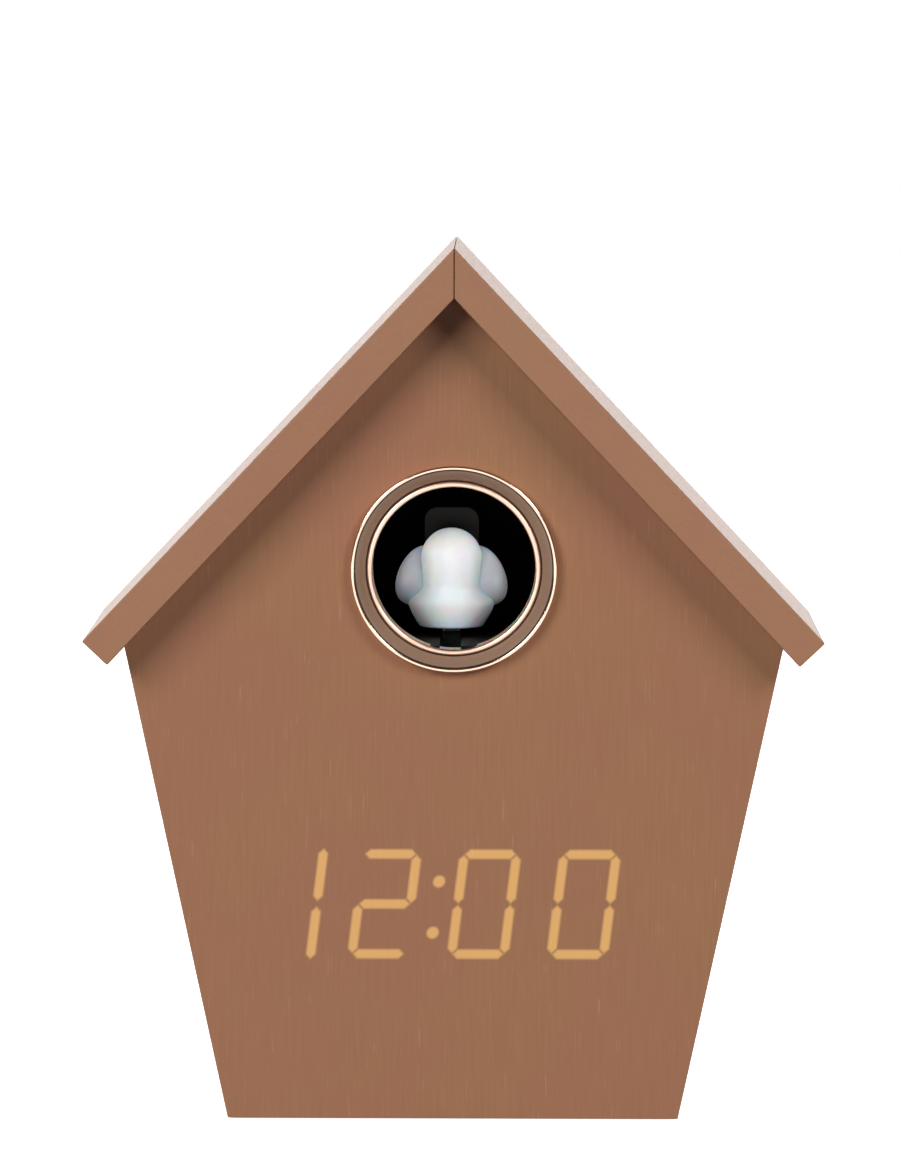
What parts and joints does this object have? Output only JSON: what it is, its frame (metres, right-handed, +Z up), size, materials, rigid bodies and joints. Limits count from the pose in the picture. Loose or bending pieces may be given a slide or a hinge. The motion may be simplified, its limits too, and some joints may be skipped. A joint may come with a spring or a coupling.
{
  "type": "cuckoo clock",
  "caption": "House-shaped wooden shelf clock with a gable roof, glowing digits behind the veneer and a small bird that slides out of a ringed opening.",
  "frame": {"origin": "under the clock's centre, on the plane of its feet", "axes": "+Z up, the front faces -Y, +X to the right seen from the front, the ridge runs along Y"},
  "size_m": [0.1686, 0.09, 0.2009],
  "materials": {
    "fibreboard": "satin",
    "veneer": "satin wood veneer, fine upright streaks",
    "veneer_side": "satin wood veneer",
    "veneer_roof": "satin wood veneer with a soft sheen",
    "pine": "raw",
    "black_plastic": "fine texture",
    "steel": "bright",
    "rubber_foot": "matte",
    "rose_metal": "satin face, bright beads, rose tone",
    "black_gloss": "gloss",
    "grey_plastic": "moulded",
    "black_satin": "satin",
    "bird_white": "soft gloss",
    "ivory_plastic": "moulded",
    "brass_part": "machined",
    "motor_can": "plated",
    "amber_light": "lit diffuser",
    "diffuser": "unlit diffuser",
    "board_green": "solder mask",
    "ribbon": "ribbed",
    "chip_black": "moulded",
    "button_grey": "smooth",
    "speaker_steel": "plated",
    "cone_paper": "pulp",
    "cell_jacket": "plain jacket",
    "lead_red": "insulated wire",
    "lead_black": "insulated wire"
  },
  "bodies": {
    "case": {"front_panel": "fibreboard", "front_veneer": "veneer", "left_wall": "veneer_side", "right_wall": "veneer_side", "base_board": "fibreboard", "roof_left": "veneer_roof", "roof_right": "veneer_roof", "ridge_block": "pine", "corner_blocks": "pine", "back_cover": "black_plastic", "cover_screws": "steel", "feet": "rubber_foot", "bezel_ring": "rose_metal", "bird_chamber": "black_gloss", "chamber_back": "black_gloss", "drive_frame": "grey_plastic", "module_screws": "steel", "guide_rods": "steel", "gear_axles": "steel", "gearhead": "brass_part", "motor": "motor_can", "home_switch": "black_plastic", "display_housing": "black_satin", "segments_lit": "amber_light", "segments_unlit": "diffuser", "display_board": "board_green", "display_screws": "steel", "display_ribbon": "ribbon", "main_board": "board_green", "board_parts": "chip_black", "board_screws": "steel", "button_switches": "chip_black", "slide_switch": "steel", "power_inlet": "black_plastic", "speaker_frame": "speaker_steel", "speaker_cone": "cone_paper", "speaker_magnet": "motor_can", "battery_box": "black_plastic", "battery_contacts": "steel", "backup_cells": "cell_jacket", "motor_leads": "lead_red", "speaker_leads": "lead_black", "battery_leads": "lead_red"},
    "bird": {"carriage": "black_plastic", "bird_post": "black_satin", "bird_body": "bird_white", "bird_wings": "bird_white"},
    "rack_gear": {"rack_gear": "ivory_plastic"},
    "compound_gear": {"compound_gear": "ivory_plastic"},
    "motor_drive": {"motor_pinion": "brass_part", "motor_shaft": "steel"},
    "button_left": {"button_left": "button_grey"},
    "button_middle": {"button_middle": "button_grey"},
    "button_right": {"button_right": "button_grey"},
    "slide_knob": {"slide_knob": "black_plastic"},
    "battery_door": {"battery_door": "black_plastic"}
  },
  "joints": [
    {"name": "bird_slide", "type": "slide", "parent": "case", "child": "bird", "axis": [0, -1, 0], "range_m": [0, 0.028]},
    {"name": "rack_gear_spin", "type": "hinge", "parent": "case", "child": "rack_gear", "pos_m": [0, 0.006, 0.0958], "axis": [1, 0, 0], "range_deg": [0, 224]},
    {"name": "compound_gear_spin", "type": "hinge", "parent": "case", "child": "compound_gear", "pos_m": [0, 0.006, 0.085], "axis": [1, 0, 0], "range_deg": [-447, 0]},
    {"name": "motor_spin", "type": "hinge", "parent": "case", "child": "motor_drive", "pos_m": [0, 0.0216, 0.085], "axis": [1, 0, 0], "range_deg": [0, 1487]},
    {"name": "button_left_press", "type": "slide", "parent": "case", "child": "button_left", "axis": [0, -1, 0], "range_m": [0, 0.0006], "stiffness_N_per_m": 1500},
    {"name": "button_middle_press", "type": "slide", "parent": "case", "child": "button_middle", "axis": [0, -1, 0], "range_m": [0, 0.0006], "stiffness_N_per_m": 1500},
    {"name": "button_right_press", "type": "slide", "parent": "case", "child": "button_right", "axis": [0, -1, 0], "range_m": [0, 0.0006], "stiffness_N_per_m": 1500},
    {"name": "switch_slide", "type": "slide", "parent": "case", "child": "slide_knob", "axis": [1, 0, 0], "range_m": [0, 0.003]},
    {"name": "battery_door_hinge", "type": "hinge", "parent": "case", "child": "battery_door", "pos_m": [0, 0.04075, 0.02355], "axis": [-1, 0, 0], "range_deg": [0, 95]}
  ],
  "couplings": [
    {"joint": "rack_gear_spin", "follows": "bird_slide", "rad_per_m": 138.89},
    {"joint": "compound_gear_spin", "follows": "bird_slide", "rad_per_m": -277.78},
    {"joint": "motor_spin", "follows": "bird_slide", "rad_per_m": 925.93}
  ]
}
